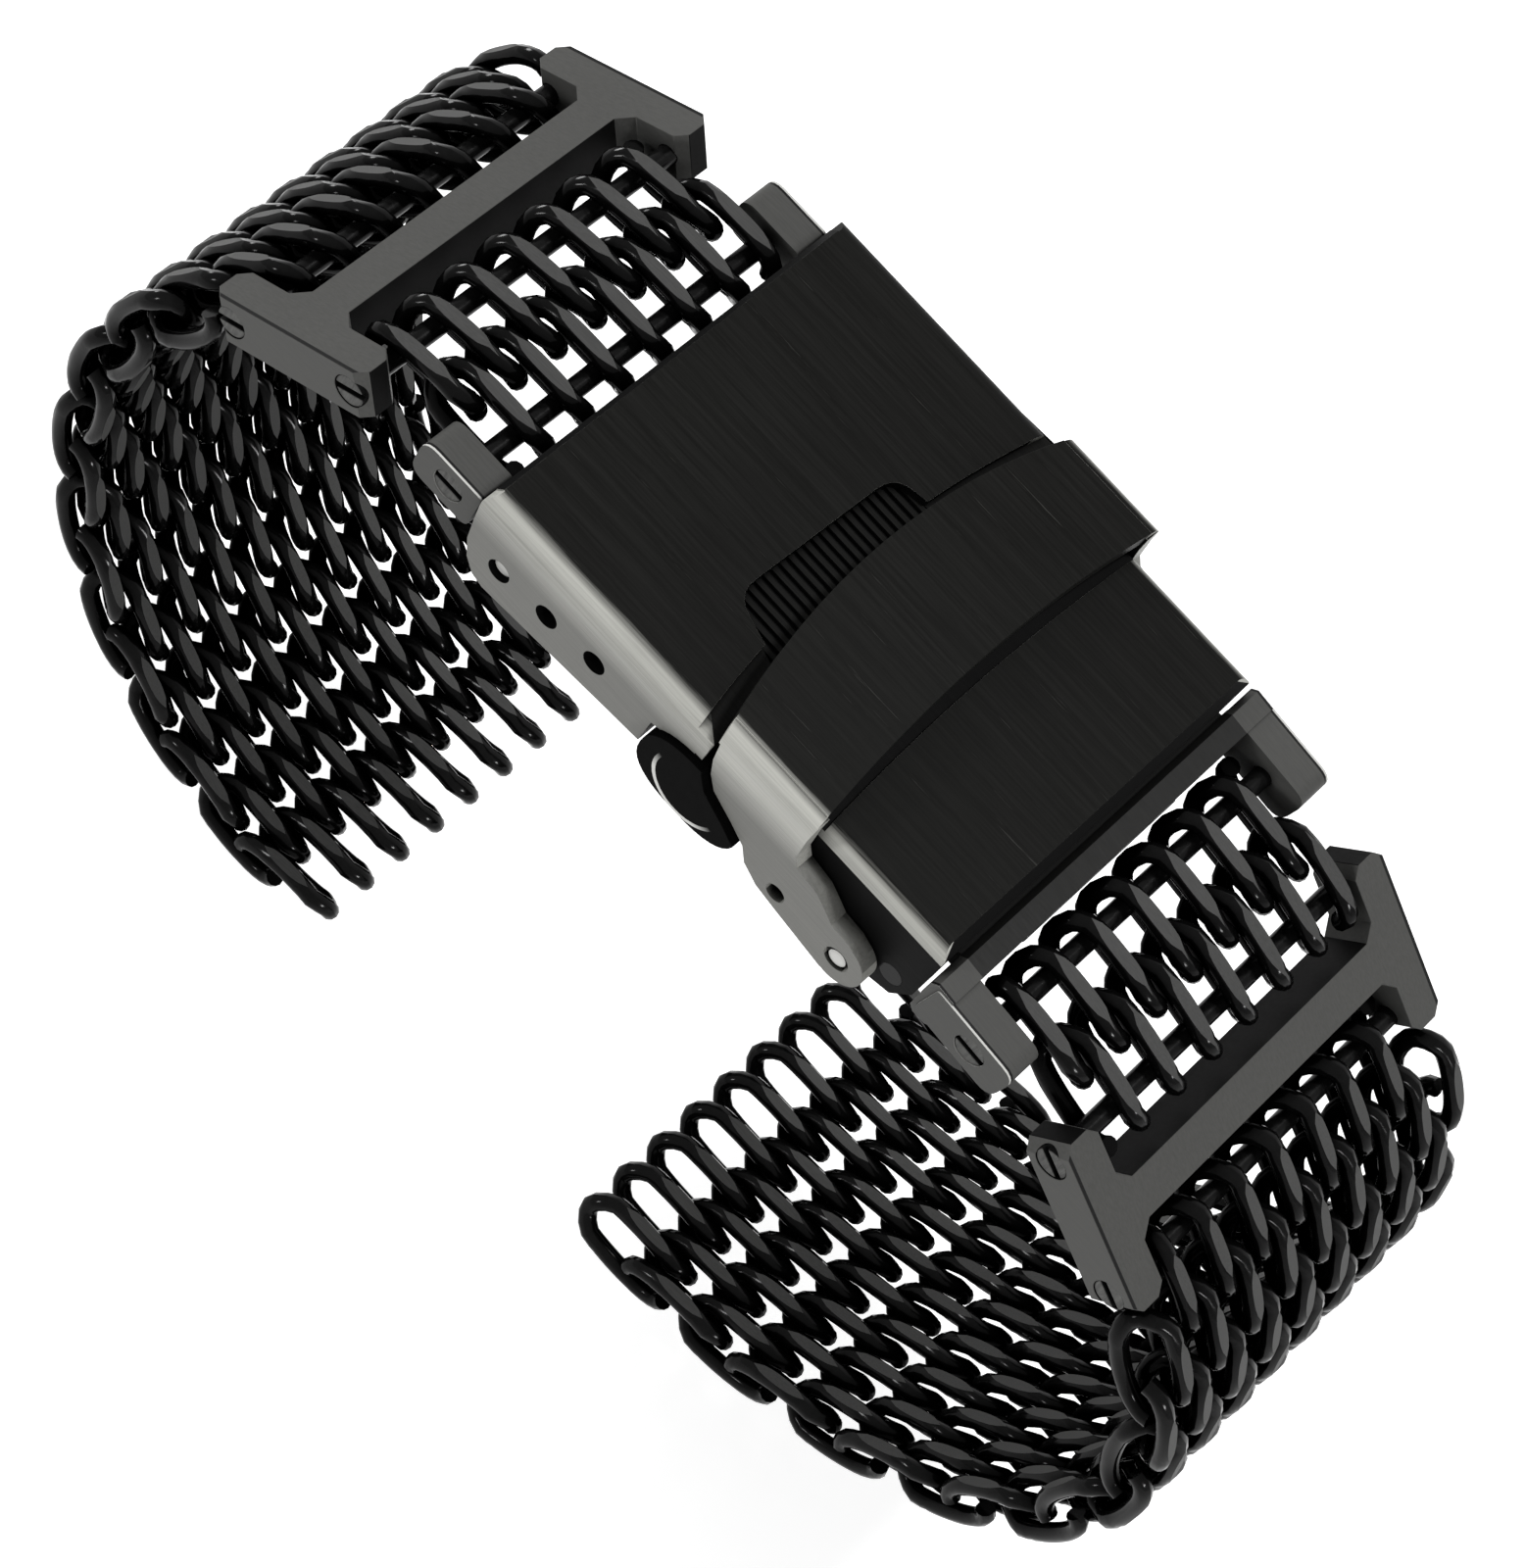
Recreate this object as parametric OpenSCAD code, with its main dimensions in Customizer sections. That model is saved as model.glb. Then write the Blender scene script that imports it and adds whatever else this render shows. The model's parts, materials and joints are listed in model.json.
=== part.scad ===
// Black shark-mesh bracelet with a fold-over clasp.
// The clasp lies on top, and both mesh bands hang from it and curl in underneath.
// X runs along the clasp, Y across the band and Z up. The origin is the middle spring-bar hole,
// at half the width. Side A leaves the clasp towards -X, side B towards +X.

/* [Mesh] */
// Distance between two neighbouring turns of one wire, across the band
turn_pitch = 2.5; // [2.3:0.05:2.7]
// Distance between two neighbouring rows of a short segment, along the band
row_pitch = 3.35; // [3.2:0.05:3.6]
// Diameter of the wire
wire_d = 1.0; // [0.8:0.02:1]
// Height of a turn between the wire's centre lines
turn_h = 2.3; // [2.3:0.05:2.4]
// How far the turns of two neighbouring rows reach into each other
hook_depth = 2.35; // [1.8:0.05:2.4]
// How far from its end a turn starts to bend round
turn_bend = 0.8; // [0.6:0.05:0.8]
// Distance from a pin to the middle of the row that hangs on it
pin_reach = 1.3; // [1.25:0.05:1.5]

/* [Bands] */
// Rows in band A, from the H link to the free end
rows_a = 16; // [8:1:16]
// Distance between two neighbouring rows of band A
row_pitch_a = 3.15; // [3.1:0.05:3.4]
// Bend of the first row of band A on its pin
first_bend_a = 23; // [8:0.5:26]
// Bend at the second row of band A
bend_a_start = 9.5; // [5:0.5:16]
// Bend halfway along band A
bend_a_middle = 7.7; // [5:0.1:10]
// Bend at the last row of band A
bend_a_end = 13; // [3:0.5:16]
// Rows in band B, from the H link to the free end
rows_b = 15; // [8:1:15]
// Distance between two neighbouring rows of band B
row_pitch_b = 3.5; // [3.3:0.05:3.6]
// Bend of the first row of band B on its pin
first_bend_b = 2; // [0:0.5:16]
// Bend at the second row of band B
bend_b_start = 13.5; // [8:0.5:16]
// Bend halfway along band B
bend_b_middle = 9.9; // [5:0.1:11]
// Bend at the last row of band B
bend_b_end = 8; // [3:0.5:16]

/* [Link bars] */
// Outer width of the H links and the end links
link_w = 22.0; // [22:0.1:22.6]
// Width of a link's side arm
arm_w = 2.0; // [1.6:0.1:2.2]
// Thickness of the H links
h_link_t = 2.5; // [2.2:0.1:2.8]
// Distance between an H link's two pins
h_pin_gap = 7.1; // [7:0.1:8]
// Width of an H link's crossbar
h_bar_w = 2.2; // [1.6:0.1:2.6]
// How far a link's arm reaches past its pin
arm_end = 0.95; // [0.95:0.05:1]
// Slope of H link A below the horizontal
h_slope_a = 29; // [20:1:35]
// Slope of H link B below the horizontal
h_slope_b = 35; // [20:1:40]
// Diameter of the pins that hold the mesh
mesh_pin_d = 1.0; // [0.8:0.05:1.05]
// Diameter of a pin's slotted head
pin_head_d = 1.6; // [1.3:0.1:1.7]
// Thickness of a pin's slotted head
pin_head_t = 0.8; // [0.5:0.1:1]
// Width of the slot in a pin's head
slot_w = 0.3; // [0.2:0.05:0.4]

/* [Clasp cover] */
// Length of the cover
cover_l = 26.9; // [26:0.1:29]
// How far the clasp stands out beyond the links on each side
clasp_margin = 0.5; // [0.4:0.05:0.8]
// Height of the cover at the flap end
cover_h = 5.5; // [5.3:0.1:6]
// Thickness of the cover's top plate
plate_t = 1.1; // [0.9:0.1:1.2]
// Thickness of the cover's outer side walls
wall_t = 1.2; // [0.9:0.1:1.3]
// Distance between two neighbouring spring-bar holes
hole_pitch = 2.8; // [2.6:0.1:2.9]
// How much higher each spring-bar hole is than the one before, towards the flap
hole_rise = 0.3; // [0:0.05:0.35]
// Diameter of the spring-bar holes
hole_d = 1.2; // [1:0.1:1.5]
// Depth of the spring-bar holes below the cover's top face
hole_drop = 3.1; // [3:0.05:3.3]
// Distance from the middle spring-bar hole to the cover's middle
hole_to_middle = 8.4; // [8.3:0.05:8.6]

/* [Ribbed window] */
// Length of the ribbed window beside the flap
window_l = 4.2; // [3.4:0.1:4.6]
// Width of the ribbed window at the flap
window_w = 11.6; // [9:0.1:12]
// Depth of the ribbed window
window_t = 0.6; // [0.4:0.05:0.7]
// Distance between two ribs
rib_pitch = 0.5; // [0.4:0.05:0.8]

/* [Safety flap] */
// Thickness of the flap's band and arms
flap_t = 0.95; // [0.8:0.05:1]
// Gap between the flap and the cover
flap_gap = 0.15; // [0.1:0.05:0.2]
// Length of the flap's band at its sides
flap_side_l = 5.4; // [4.8:0.1:5.6]
// How far the flap's rear edge bows out in the middle
flap_rear_bow = 1.8; // [0.5:0.1:2]
// How far the flap's front edge is drawn in at the middle
flap_front_bow = 0.8; // [0.3:0.1:1]
// Height of the flap's crown over its sides
flap_crown = 0.8; // [0.4:0.1:1]
// Width of the groove between the flap and the cover's top face
flap_groove = 0.5; // [0.3:0.05:0.7]
// Diameter of the flap's pivot pins
flap_pin_d = 1.2; // [1:0.1:1.3]

/* [Push buttons] */
// Length of a button along the clasp
button_l = 5.9; // [5.4:0.1:6]
// Height of a button
button_h = 4.0; // [3.4:0.1:4.1]
// How far a button stands out beyond the cover's side
button_proud = 0.3; // [0.1:0.05:0.5]
// How far a button travels inwards
button_travel = 0.5; // [0.3:0.05:0.6]

/* [Folding blades] */
// Thickness of the folding blades
blade_t = 1.0; // [0.8:0.05:1.2]
// Width of one rail of the outer blade
rail_w = 3.25; // [2.6:0.05:3.6]
// Diameter of the hinge pins of the blades
hinge_pin_d = 1.2; // [1:0.1:1.3]
// Diameter of the hinge eyes of the blades
hinge_eye_d = 2.2; // [2:0.1:2.4]

/* [Fits] */
// Radial clearance of a pin that turns in its hole
run_gap = 0.05; // [0.03:0.01:0.1]
// Radial clearance of a pin that stays fixed in its hole
fixed_gap = 0.02; // [0.01:0.01:0.05]
// Gap between parts that move past each other side by side
side_gap = 0.15; // [0.1:0.05:0.2]

/* [Hidden] */
strand_pitch = turn_pitch / 2;
wire_r = wire_d / 2;
// Gap between a pin and the inside of the loops that hang on it
loop_gap = 0.25;
// Distance from a pin to the hinge line at the other end of the row that hangs on it
function end_reach(pitch) = pin_reach + pitch / 2;
// Distance from a row's middle to the ends of its turns, at a hook and at a pin
function hook_end(pitch) = (pitch + hook_depth) / 2;
pin_end = pin_reach + mesh_pin_d / 2 + loop_gap + wire_r;
section_sides = 5;
// Half the angle that the ground face takes up around the wire
face_angle = 52;
// Strands in a row between the arms of a link, and in a full-width row: two for each turn
row_room = 0.3;
link_strands = 2 * floor(((link_w - 2 * arm_w - wire_d - row_room) / strand_pitch + 1) / 2);
band_strands = link_strands + 4;

// The clasp, with every point given from the middle of the cover's top face
cover_x0 = -cover_l / 2;
cover_x1 = cover_l / 2;
half_w = link_w / 2 + clasp_margin;
inner_half_w = half_w - flap_t - flap_gap;
inner_wall_t = 1.4;
blade_room = 0.4;
outer_blade_half = inner_half_w - inner_wall_t - blade_room;
inner_blade_half = outer_blade_half - rail_w - side_gap;
hole_x = -hole_to_middle;
bar_at = [hole_x - hole_pitch, -hole_drop - hole_rise];
edge_r = 0.9;
inner_edge_r = 0.8;
flap_pivot = [cover_x1 - 3.25, -4.9];
flap_eye_r = 1.45;
flap_edge_r = 0.8;
detent_at = [6.45, -4.85];
detent_r = 0.5;
cover_hinge = [cover_x1 - 1.25, -4.3];
fold_hinge = [-2.2, -4.3];
strap_pivot_b = [cover_x1 + 0.65, -3.3];
button_at = [0.95, -3.9];
stem_h = 0.9;
stem_w = 1.4;
stem_z = -2.3;
guide_wall = 2.4;
guide_floor = 0.35;
guide_half_w = outer_blade_half - 0.2;
stem_reach = guide_half_w - 1.8;
wall_end_x = -2.15;
flap_x0 = 0.5;
flap_x1 = flap_x0 + 0.1 + flap_side_l;
flap_z = 0.3;
flap_recess_t = 0.4;
// The edge of the flap's arm that runs past the button, from the flap's band down to the arm's corner
arm_edge = [[0.85, -1], [1.15, -1.95], [1.7, -2.75], [3.1, -3.5], [4.1, -4.15], [4.6, -5]];
arm_gap = 0.2;

// The chain of side A and side B: pin and hinge positions as [x, z], angles below the horizontal
end_pin_a = [cover_x0 - 1.75, -2.55];
end_pin_b = [cover_x1 + 3.3, -2.85];
short_slopes_a = [2, 11];
short_slopes_b = [9, 19];
end_arm_h = 1.25;
end_slope_a = 0;
end_slope_b = 6;

function heading(side, slope) = [side * cos(slope), -sin(slope)];
function step(from, side, slope, l) = from + l * heading(side, slope);
function sum(list, n) = n <= 0 ? 0 : list[n - 1] + sum(list, n - 1);
function bend_at(t, first, middle, last) =
    first * (1 - t) * (1 - 2 * t) + 4 * middle * t * (1 - t) + last * t * (2 * t - 1);

mid_a = step(end_pin_a, -1, short_slopes_a[0], end_reach(row_pitch));
link_pin_a = step(mid_a, -1, short_slopes_a[1], end_reach(row_pitch));
band_pin_a = step(link_pin_a, -1, h_slope_a, h_pin_gap);
mid_b = step(end_pin_b, 1, short_slopes_b[0], end_reach(row_pitch));
link_pin_b = step(mid_b, 1, short_slopes_b[1], end_reach(row_pitch));
band_pin_b = step(link_pin_b, 1, h_slope_b, h_pin_gap);

function row_bends(rows, on_pin, first, middle, last) =
    concat([on_pin], [for (i = [0 : rows - 2]) bend_at(i / (rows - 2), first, middle, last)]);
bends_a = row_bends(rows_a, first_bend_a, bend_a_start, bend_a_middle, bend_a_end);
bends_b = row_bends(rows_b, first_bend_b, bend_b_start, bend_b_middle, bend_b_end);
// Slope of each band row
slopes_a = [for (i = [1 : rows_a]) h_slope_a + sum(bends_a, i)];
slopes_b = [for (i = [1 : rows_b]) h_slope_b + sum(bends_b, i)];
// The point that a band row turns about: a pin for the first, the hook with the row before for the rest
function row_hinge(i, side, start, slopes, pitch) =
    i == 0 ? start
    : step(row_hinge(i - 1, side, start, slopes, pitch), side, slopes[i - 1], i == 1 ? end_reach(pitch) : pitch);
hinges_a = [for (i = [0 : rows_a - 1]) row_hinge(i, -1, band_pin_a, slopes_a, row_pitch_a)];
hinges_b = [for (i = [0 : rows_b - 1]) row_hinge(i, 1, band_pin_b, slopes_b, row_pitch_b)];

function row_name(side, i) = str("band_", side, "_row_", i < 10 ? "0" : "", i);

black_steel = [0.07, 0.07, 0.07];
ground_steel = [0.29, 0.29, 0.28];
grey_steel = [0.55, 0.55, 0.52];

// Moves the clasp's coordinates so that the middle spring-bar hole is the origin
module in_clasp() {
    translate([hole_to_middle, 0, hole_drop]) children();
}

// Stands an outline drawn in X and Z up between two Y positions
module upright(y_from, y_to) {
    translate([0, y_to, 0]) rotate([90, 0, 0]) linear_extrude(y_to - y_from) children();
}

// A round rod along Y through the point [x, z]
module rod(at, r, y_from, y_to) {
    translate([at[0], y_to, at[1]]) rotate([90, 0, 0]) cylinder(r = r, h = y_to - y_from, $fn = 48);
}

// The same thing on the near and on the far side
module both_sides() {
    children();
    mirror([0, 1, 0]) children();
}

// Places what is drawn along +X, with +Z outwards, at a point of one side's chain
module on_chain(side, at, slope) {
    translate([at[0], 0, at[1]])
        rotate([0, side * slope, 0])
            rotate([0, 0, side > 0 ? 0 : 180])
                children();
}

// The mesh wire: a flattened coil whose strands lie side by side across the band, in turn on top and below.
// Strand k lies on top if k is even and even_top is true, or if k is odd and even_top is false.
function strand_side(k, even_top) = ((k % 2 == 0) == even_top) ? 1 : -1;
function strand_y(k, strands) = (k - (strands - 1) / 2) * strand_pitch;
function coil_path(strands, even_top, near_end, far_end) = [
    for (k = [0 : strands - 1])
        let (s = strand_side(k, even_top), y = strand_y(k, strands),
            end = s > 0 ? far_end : near_end, other = s > 0 ? near_end : far_end)
            each concat(
                [[-s * (other - turn_bend), y, s * turn_h / 2], [s * (end - turn_bend), y, s * turn_h / 2]],
                k < strands - 1 ? [[s * end, y + strand_pitch / 2, 0]] : []
            )
];
function unit(v) = v / norm(v);
// The wire's direction at a point of its path, and the mitre's stretch there
function path_dir(p, i) =
    i == 0 ? unit(p[1] - p[0])
    : i == len(p) - 1 ? unit(p[i] - p[i - 1])
    : unit(unit(p[i] - p[i - 1]) + unit(p[i + 1] - p[i]));
function path_stretch(p, i) =
    i == 0 || i == len(p) - 1 ? 1 : 1 / (unit(p[i + 1] - p[i]) * path_dir(p, i));
// One cross-section of the wire, flat on the outside where the mesh is ground
function wire_ring(p, i) =
    let (dir = path_dir(p, i), side = unit([0, 1, 0] - dir[1] * dir), out = cross(dir, side))
    [for (n = [0 : section_sides - 1])
        let (a = face_angle + n * (360 - 2 * face_angle) / (section_sides - 1))
            p[i] + wire_r * (path_stretch(p, i) * cos(a) * out + sin(a) * side)];

module wire_coil(strands, even_top, near_end, far_end) {
    path = coil_path(strands, even_top, near_end, far_end);
    last = len(path) - 1;
    sides = section_sides;
    points = [for (i = [0 : last]) each wire_ring(path, i)];
    walls = [for (i = [0 : last - 1], n = [0 : sides - 1])
        let (a = i * sides + n, b = i * sides + (n + 1) % sides)
            each [[a, b, b + sides], [a, b + sides, a + sides]]];
    start = [[for (n = [sides - 1 : -1 : 0]) n]];
    end = [[for (n = [0 : sides - 1]) last * sides + n]];
    polyhedron(points = points, faces = concat(walls, start, end));
}

// A mesh row that turns about a hinge line, which is a pin or the hook with the row before
module mesh_row(side, at, slope, strands, even_top, pitch, on_pin, to_pin) {
    near_end = on_pin ? pin_end : hook_end(pitch);
    far_end = to_pin ? pin_end : hook_end(pitch);
    color(black_steel)
        in_clasp()
            on_chain(side, at, slope)
                translate([on_pin ? pin_reach : pitch / 2, 0, 0])
                    wire_coil(strands, even_top, near_end, far_end);
}

// Row i of a band, where row 0 hangs on the H link's pin. The last row ends in its full comb of loops.
module band_row(side, i, rows, hinges, slopes, pitch) {
    mesh_row(side, hinges[i], slopes[i], i == 0 ? link_strands : band_strands,
        (rows - 1 - i) % 2 == 0, pitch, i == 0, false);
}

// The H link in its own frame: X along the band from the crossbar's middle, Z outwards
function h_quarter(sx, sy) =
    let (x_end = h_pin_gap / 2 + arm_end, y_out = link_w / 2, y_in = y_out - arm_w,
        bar = h_bar_w / 2, bevel = 0.5, fillet = 0.7)
    [for (q = [
        [bar, y_in - fillet], [bar + fillet, y_in], [x_end - bevel, y_in],
        [x_end, y_in + bevel], [x_end, y_out - bevel], [x_end - bevel, y_out]
    ]) [sx * q[0], sy * q[1]]];
function reversed(list) = [for (i = [len(list) - 1 : -1 : 0]) list[i]];

module h_outline() {
    polygon(concat(h_quarter(1, 1), reversed(h_quarter(-1, 1)), h_quarter(-1, -1), reversed(h_quarter(1, -1))));
}

module h_link(side, link_pin, slope) {
    color(ground_steel)
        in_clasp()
            on_chain(side, link_pin, slope)
                translate([h_pin_gap / 2, 0, 0])
                    difference() {
                        translate([0, 0, -h_link_t / 2]) linear_extrude(h_link_t) h_outline();
                        for (sx = [-1, 1])
                            turn_near(side) mesh_pin_hole([sx * h_pin_gap / 2, 0]);
                    }
}

// Side A is turned half round, so its pins are mirrored to keep their heads on the near side
module turn_near(side) {
    mirror([0, side < 0 ? 1 : 0, 0]) children();
}

// The bore for a slotted mesh pin, with the seat of its head at -Y
module mesh_pin_hole(at) {
    rod(at, mesh_pin_d / 2 + fixed_gap, -link_w / 2 - 1, link_w / 2 + 1);
    rod(at, pin_head_d / 2 + fixed_gap, -link_w / 2 - 1, -link_w / 2 + pin_head_t + fixed_gap);
}

module mesh_pin(at) {
    difference() {
        union() {
            rod(at, mesh_pin_d / 2, -link_w / 2 + pin_head_t / 2, link_w / 2 - 0.1);
            rod(at, pin_head_d / 2, -link_w / 2 + 0.05, -link_w / 2 + pin_head_t);
        }
        translate([at[0] - pin_head_d, -link_w / 2 - 1, at[1] - slot_w / 2])
            cube([2 * pin_head_d, 1.35, slot_w]);
    }
}

module h_link_pins(side, link_pin, slope) {
    color(grey_steel)
        in_clasp()
            on_chain(side, link_pin, slope)
                for (x = [0, h_pin_gap])
                    turn_near(side) mesh_pin([x, 0]);
}

// One row of a short segment between an end link and an H link
module short_row(side, n, end_pin, mid, slopes) {
    mesh_row(side, n == 0 ? end_pin : mid, slopes[n], link_strands, n == 0, row_pitch, n == 0, n == 1);
}

// A corner p of an outline, rounded off from cut before it to cut after it
function rounded_corner(before, p, after, cut) = [
    for (t = [0 : 0.2 : 1]) p + cut * (unit(before - p) * pow(1 - t, 2) + unit(after - p) * pow(t, 2))
];
// A closed outline with all its corners rounded off
function rounded(list, cut) = [
    for (i = [0 : len(list) - 1])
        each rounded_corner(list[(i + len(list) - 1) % len(list)], list[i], list[(i + 1) % len(list)], cut)
];

// Side view of the cover's outer wall, which ends beside the button
module cover_wall_outline() {
    polygon([
        [cover_x0 + 0.35, 0], [cover_x0, -0.5], [cover_x0 + 0.1, -1.6], [cover_x0 + 0.3, -3.4],
        [cover_x0 + 0.7, -4.5], [cover_x0 + 1.3, -cover_h + 0.3], [cover_x0 + 2, -cover_h + 0.1],
        [wall_end_x, -cover_h + 1], [wall_end_x, -2.7], [flap_x0, -1.75], [flap_x0, 0]
    ]);
}

// Side view of the cover's inner wall, under the flap's arm
module cover_inner_outline() {
    lug = 1.15;
    polygon([
        [wall_end_x, 0], [wall_end_x, -cover_h + 1], [detent_at[0], -cover_h],
        [flap_pivot[0] - lug, -cover_h], [flap_pivot[0] - lug / 2, flap_pivot[1] - lug],
        [flap_pivot[0] + lug / 2, flap_pivot[1] - lug], [cover_hinge[0] + 0.5, -cover_h],
        [cover_x1, -cover_h + 1.3], [cover_x1, -0.5], [cover_x1 - 0.4, 0]
    ]);
}

// Side view of a button: an oval that is cut off along the flap's arm
module button_outline(grow) {
    a = button_l / 2 + grow;
    b = button_h / 2 + grow;
    intersection() {
        polygon([for (t = [0 : 10 : 350])
            [a * sign(cos(t)) * pow(abs(cos(t)), 0.8), b * sign(sin(t)) * pow(abs(sin(t)), 0.8)]]);
        translate([grow - arm_gap - button_at[0], grow - arm_gap - button_at[1]])
            polygon(concat(
                [[wall_end_x - button_l, 0], [arm_edge[0][0], 0]], arm_edge,
                [[arm_edge[len(arm_edge) - 1][0], -2 * cover_h], [wall_end_x - button_l, -2 * cover_h]]
            ));
    }
}

// Plan of the ribbed window, whose front end lies under the flap
function window_plan() =
    let (x1 = flap_x0, x0 = x1 - window_l, y0 = -1.2 - window_w / 2, y1 = y0 + window_w)
    rounded([[x0, y0 + 1.2], [x1, y0], [x1, y1], [x0 + 0.4, y1 - 0.6]], 1.1);

module ribbed_window() {
    rib_t = 0.2;
    translate([0, 0, -window_t])
        difference() {
            linear_extrude(window_t + 0.02) polygon(window_plan());
            for (y = [-half_w + rib_pitch : rib_pitch : half_w - rib_pitch])
                translate([flap_x0 - window_l, y, -1]) cube([window_l, rib_pitch / 2, 1 + rib_t]);
        }
}

// The recess that the flap's band lies in, a groove's width longer than the flap on both sides
module flap_recess() {
    translate([0, 0, -flap_recess_t])
        linear_extrude(flap_recess_t + 0.02)
            polygon(concat(flap_edge(flap_x0 + 0.1 - flap_groove, flap_rear_bow, 1.2),
                reversed(flap_edge(flap_x1 + flap_groove, flap_front_bow, 1.2))));
}

module clasp_cover() {
    color(black_steel)
        in_clasp()
            difference() {
                union() {
                    upright(-half_w + edge_r, half_w - edge_r)
                        polygon([
                            [cover_x0 + 0.3, 0], [cover_x0, -0.4], [cover_x0, -plate_t],
                            [flap_x0, -plate_t], [flap_x0, 0]
                        ]);
                    upright(-inner_half_w, inner_half_w)
                        polygon([
                            [wall_end_x, 0], [wall_end_x, -plate_t], [cover_x1, -plate_t],
                            [cover_x1, -0.5], [cover_x1 - 0.4, 0]
                        ]);
                    both_sides() upright(-half_w, -half_w + wall_t) cover_wall_outline();
                    both_sides() upright(-inner_half_w, -inner_half_w + inner_wall_t) cover_inner_outline();
                }
                // The rounded upper edges
                both_sides() cover_edge_cut(half_w, cover_x0 - 1, flap_x0 - 0.001, edge_r);
                both_sides() cover_edge_cut(inner_half_w, flap_x0, cover_x1 + 1, inner_edge_r);
                // The three spring-bar holes in each wall
                for (i = [-1 : 1])
                    rod([hole_x + i * hole_pitch, -hole_drop + i * hole_rise], hole_d / 2, -half_w, half_w);
                // Flap pivot and blade hinge
                rod(flap_pivot, flap_pin_d / 2 + fixed_gap, -half_w, half_w);
                rod(cover_hinge, hinge_pin_d / 2 + fixed_gap, -half_w, half_w);
                // Seats and guides of the buttons
                both_sides() translate([button_at[0], 0, button_at[1]]) {
                    upright(-half_w, -inner_half_w + 0.95) button_outline(side_gap);
                }
                both_sides() translate([button_at[0], 0, stem_z])
                    upright(-half_w, -inner_half_w + inner_wall_t + 0.1)
                        square([stem_w + 2 * side_gap, stem_h + 2 * side_gap], center = true);
                ribbed_window();
                flap_recess();
            }
}

// What is cut from a long edge at Y = -y to round it with radius r
module cover_edge_cut(y, x_from, x_to, r) {
    translate([x_from, 0, 0])
        rotate([90, 0, 90])
            linear_extrude(x_to - x_from)
                difference() {
                    translate([-y - 1, -r]) square([1 + r, 1 + r]);
                    translate([-y + r, -r]) circle(r, $fn = 48);
                }
}

// One long edge of the flap's band from side to side, bowed by bow at the middle
function flap_edge(x, bow, reach) = [
    for (i = [-8 : 8]) [x - bow * (1 - pow(i / 8, 2)), i / 8 * half_w * reach]
];

// Side view of the flap's arm, from the band down to the pivot
module flap_arm_outline() {
    difference() {
        union() {
            polygon(concat(
                [[flap_x1, flap_z + 0.7], [flap_x0 + 0.1, flap_z + 0.7]], arm_edge,
                [
                    [detent_at[0] - 0.85, detent_at[1] - 0.75], [detent_at[0] + 0.45, detent_at[1] - 1],
                    [flap_pivot[0] - 0.3, flap_pivot[1] - flap_eye_r],
                    [flap_pivot[0] + flap_eye_r, flap_pivot[1]],
                    [flap_pivot[0] + 0.75, flap_pivot[1] + 1.25], [flap_pivot[0], flap_pivot[1] + 1.6],
                    [flap_pivot[0] - 1.1, flap_pivot[1] + 1.7], [flap_pivot[0] - 1.8, flap_pivot[1] + 2.2],
                    [flap_pivot[0] - 2.4, flap_pivot[1] + 2.6], [flap_x1 + 0.45, -2.05],
                    [flap_x1 + 0.1, -1.5], [flap_x1, 0]
                ]
            ));
            translate(flap_pivot) circle(flap_eye_r, $fn = 48);
        }
        translate(flap_pivot) circle(flap_pin_d / 2 + run_gap, $fn = 48);
        translate(detent_at) circle(detent_r, $fn = 48);
    }
}

module safety_flap() {
    // The band is a slice of a wide tube, so that it is crowned across the clasp
    crown_r = (half_w * half_w + flap_crown * flap_crown) / (2 * flap_crown);
    tube_r = crown_r + flap_t;
    tube_z = flap_z + flap_crown - crown_r;
    side_z = tube_z + sqrt(tube_r * tube_r - half_w * half_w);
    x_from = flap_x0 - 2 * flap_rear_bow;
    x_to = flap_x1 + 1;
    color(black_steel)
        in_clasp()
            difference() {
                union() {
                    intersection() {
                        linear_extrude(flap_z + flap_crown + flap_t)
                            polygon(concat(flap_edge(flap_x0 + 0.1, flap_rear_bow, 1),
                                reversed(flap_edge(flap_x1, flap_front_bow, 1))));
                        translate([x_from, 0, tube_z])
                            rotate([0, 90, 0])
                                difference() {
                                    cylinder(r = tube_r, h = x_to - x_from, $fn = 360);
                                    translate([0, 0, -1])
                                        cylinder(r = crown_r, h = x_to - x_from + 2, $fn = 360);
                                }
                    }
                    both_sides() upright(-half_w, -half_w + flap_t) flap_arm_outline();
                }
                // The rounded bend between the band and the arms
                both_sides() translate([0, 0, side_z]) cover_edge_cut(half_w, x_from, x_to, flap_edge_r);
            }
}

// Pins with a domed end that carry the flap's arms on the cover's inner walls
module flap_pivot_pins() {
    color(grey_steel)
        in_clasp()
            both_sides()
                rod(flap_pivot, flap_pin_d / 2, -half_w + 0.05, -inner_half_w + inner_wall_t);
}

module push_button() {
    color(black_steel)
        in_clasp() {
            translate([button_at[0], 0, button_at[1]])
                upright(-half_w - button_proud, -inner_half_w + 0.3) button_outline(0);
            translate([button_at[0], 0, stem_z])
                upright(-inner_half_w + 0.2, -stem_reach)
                    square([stem_w, stem_h], center = true);
        }
}

module push_button_near() {
    push_button();
}

module push_button_far() {
    mirror([0, 1, 0]) push_button();
}

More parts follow.
